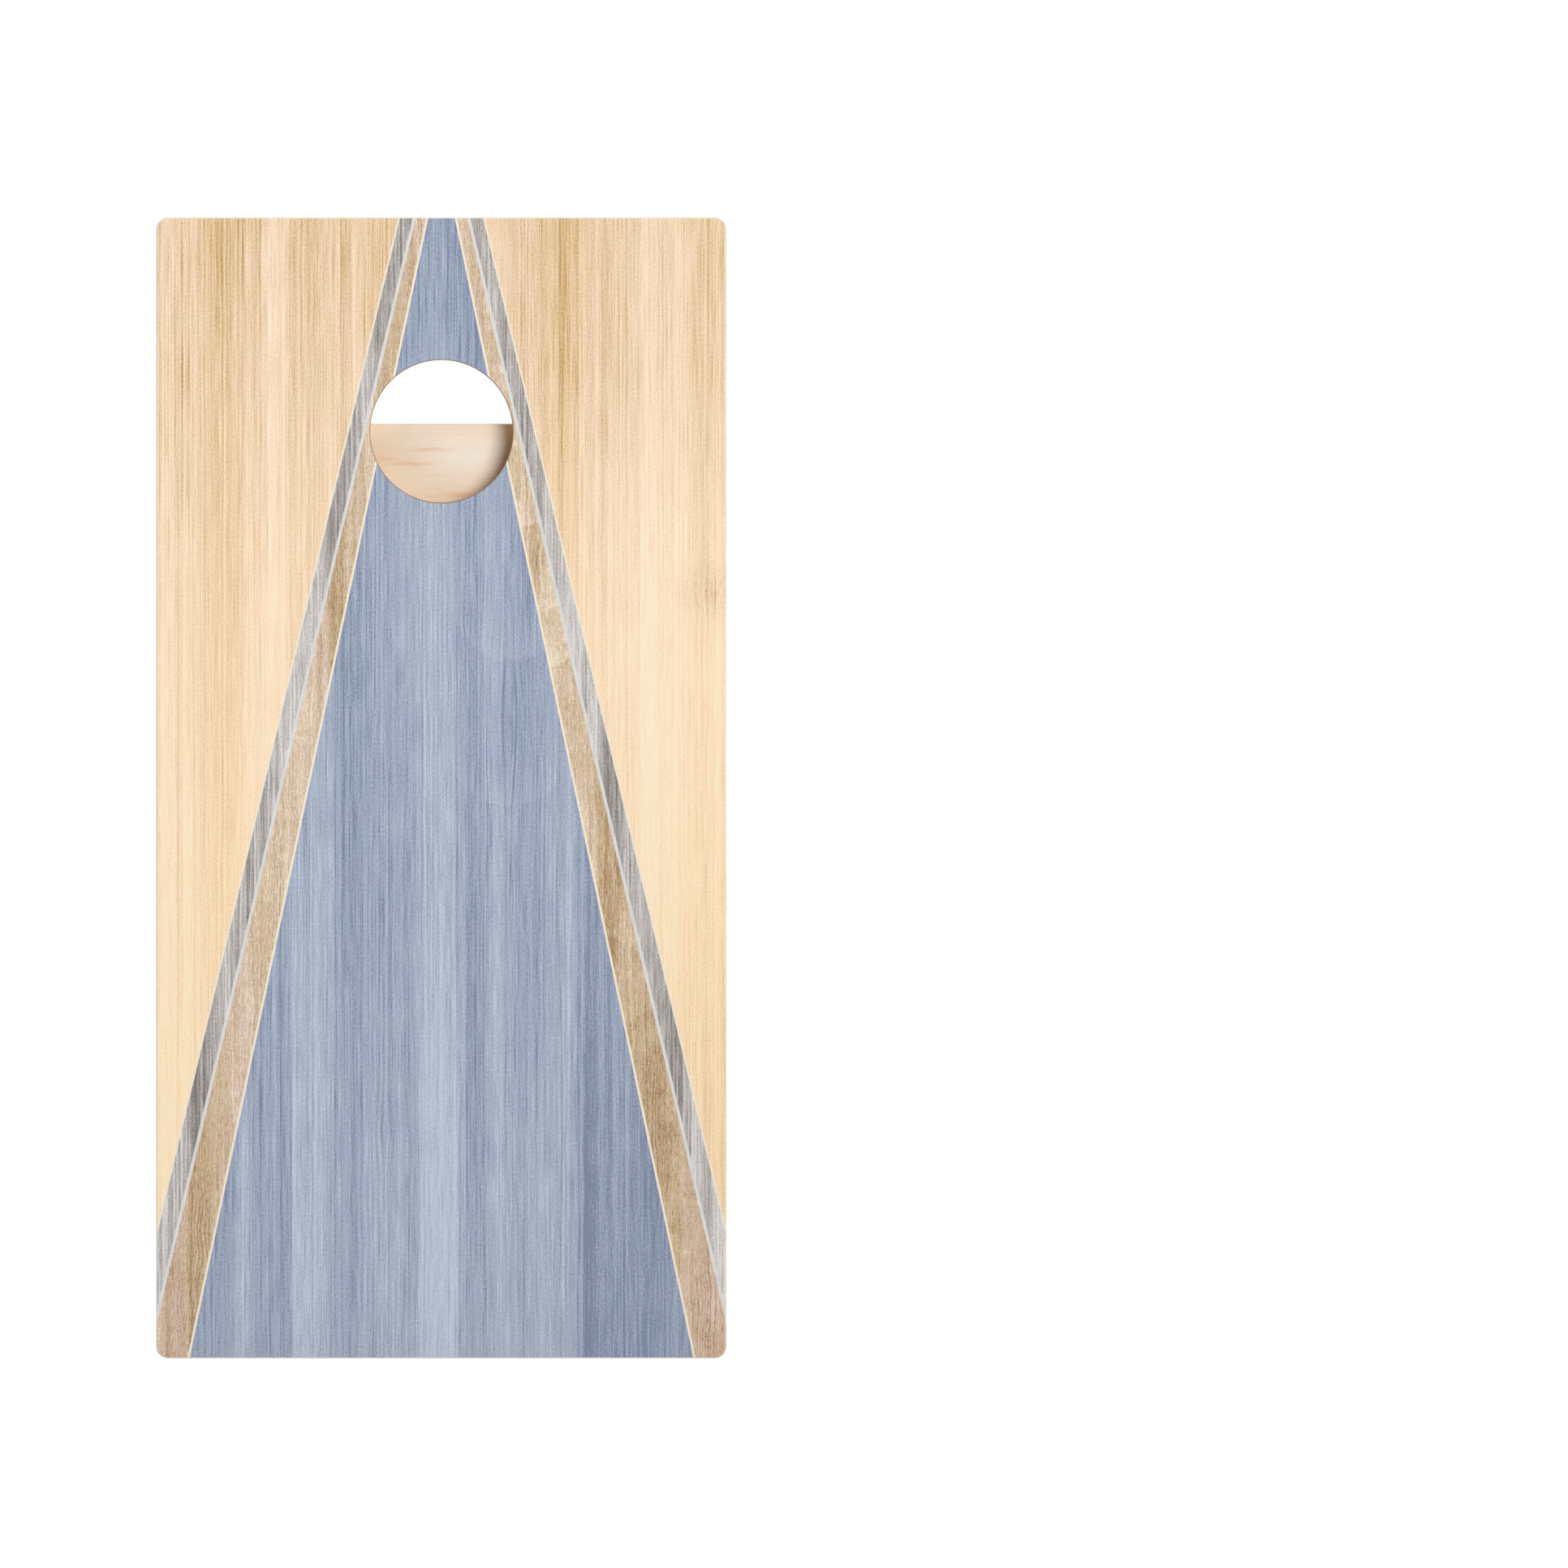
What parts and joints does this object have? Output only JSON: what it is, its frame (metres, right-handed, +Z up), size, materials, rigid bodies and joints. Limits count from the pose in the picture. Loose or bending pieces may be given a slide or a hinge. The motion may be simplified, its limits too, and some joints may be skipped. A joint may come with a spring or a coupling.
{
  "type": "cornhole board",
  "caption": "Upright rectangular cornhole board with a printed wood-look deck, a round bag hole, a timber frame behind it and folding legs held by wing nuts.",
  "frame": {"origin": "on the floor, in the middle of the board's width and depth, with the board standing on its front end", "axes": "+Z up the length of the board towards the hole end, -Y out of the playing face, +X to the right as a player sees it"},
  "size_m": [0.6096, 0.1018, 1.2192],
  "materials": {
    "printed_film": "satin printed vinyl with wood grain artwork",
    "birch_plywood": "sanded and clear sealed, plies showing at the edges",
    "pine_lumber": "planed, eased edges, clear sealed",
    "screw_steel": "zinc plated",
    "zinc_steel": "bright zinc plated"
  },
  "bodies": {
    "board": {"deck_panel": "birch_plywood", "deck_graphic": "printed_film", "side_rail_left": "pine_lumber", "side_rail_right": "pine_lumber", "front_end_rail": "pine_lumber", "rear_end_rail": "pine_lumber", "centre_brace": "pine_lumber", "frame_corner_screws": "screw_steel", "centre_brace_screws": "screw_steel", "deck_pocket_screws": "screw_steel", "carriage_bolt_left": "zinc_steel", "carriage_bolt_right": "zinc_steel", "spacer_washer_left": "zinc_steel", "spacer_washer_right": "zinc_steel"},
    "leg_assembly": {"leg_left": "pine_lumber", "leg_right": "pine_lumber", "leg_cross_brace": "pine_lumber", "leg_brace_screws": "screw_steel"},
    "left_washer": {"clamp_washer_left": "zinc_steel"},
    "right_washer": {"clamp_washer_right": "zinc_steel"},
    "left_wing_nut": {"wing_nut_left": "zinc_steel"},
    "right_wing_nut": {"wing_nut_right": "zinc_steel"}
  },
  "joints": [
    {"name": "leg_fold", "type": "hinge", "parent": "board", "child": "leg_assembly", "pos_m": [0, 0.0065, 1.13775], "axis": [1, 0, 0], "range_deg": [0, 90]},
    {"name": "left_nut_back_off", "type": "slide", "parent": "board", "child": "left_washer", "axis": [1, 0, 0], "range_m": [0, 0.00317]},
    {"name": "left_nut_turn", "type": "hinge", "parent": "left_washer", "child": "left_wing_nut", "pos_m": [-0.225, 0.0065, 1.13775], "axis": [1, 0, 0], "range_deg": [0, 720.5]},
    {"name": "right_nut_back_off", "type": "slide", "parent": "board", "child": "right_washer", "axis": [-1, 0, 0], "range_m": [0, 0.00317]},
    {"name": "right_nut_turn", "type": "hinge", "parent": "right_washer", "child": "right_wing_nut", "pos_m": [0.225, 0.0065, 1.13775], "axis": [-1, 0, 0], "range_deg": [0, 720.5]}
  ],
  "couplings": [
    {"joint": "left_nut_turn", "follows": "left_nut_back_off", "rad_per_m": 3957.9},
    {"joint": "right_nut_turn", "follows": "right_nut_back_off", "rad_per_m": 3957.9}
  ]
}
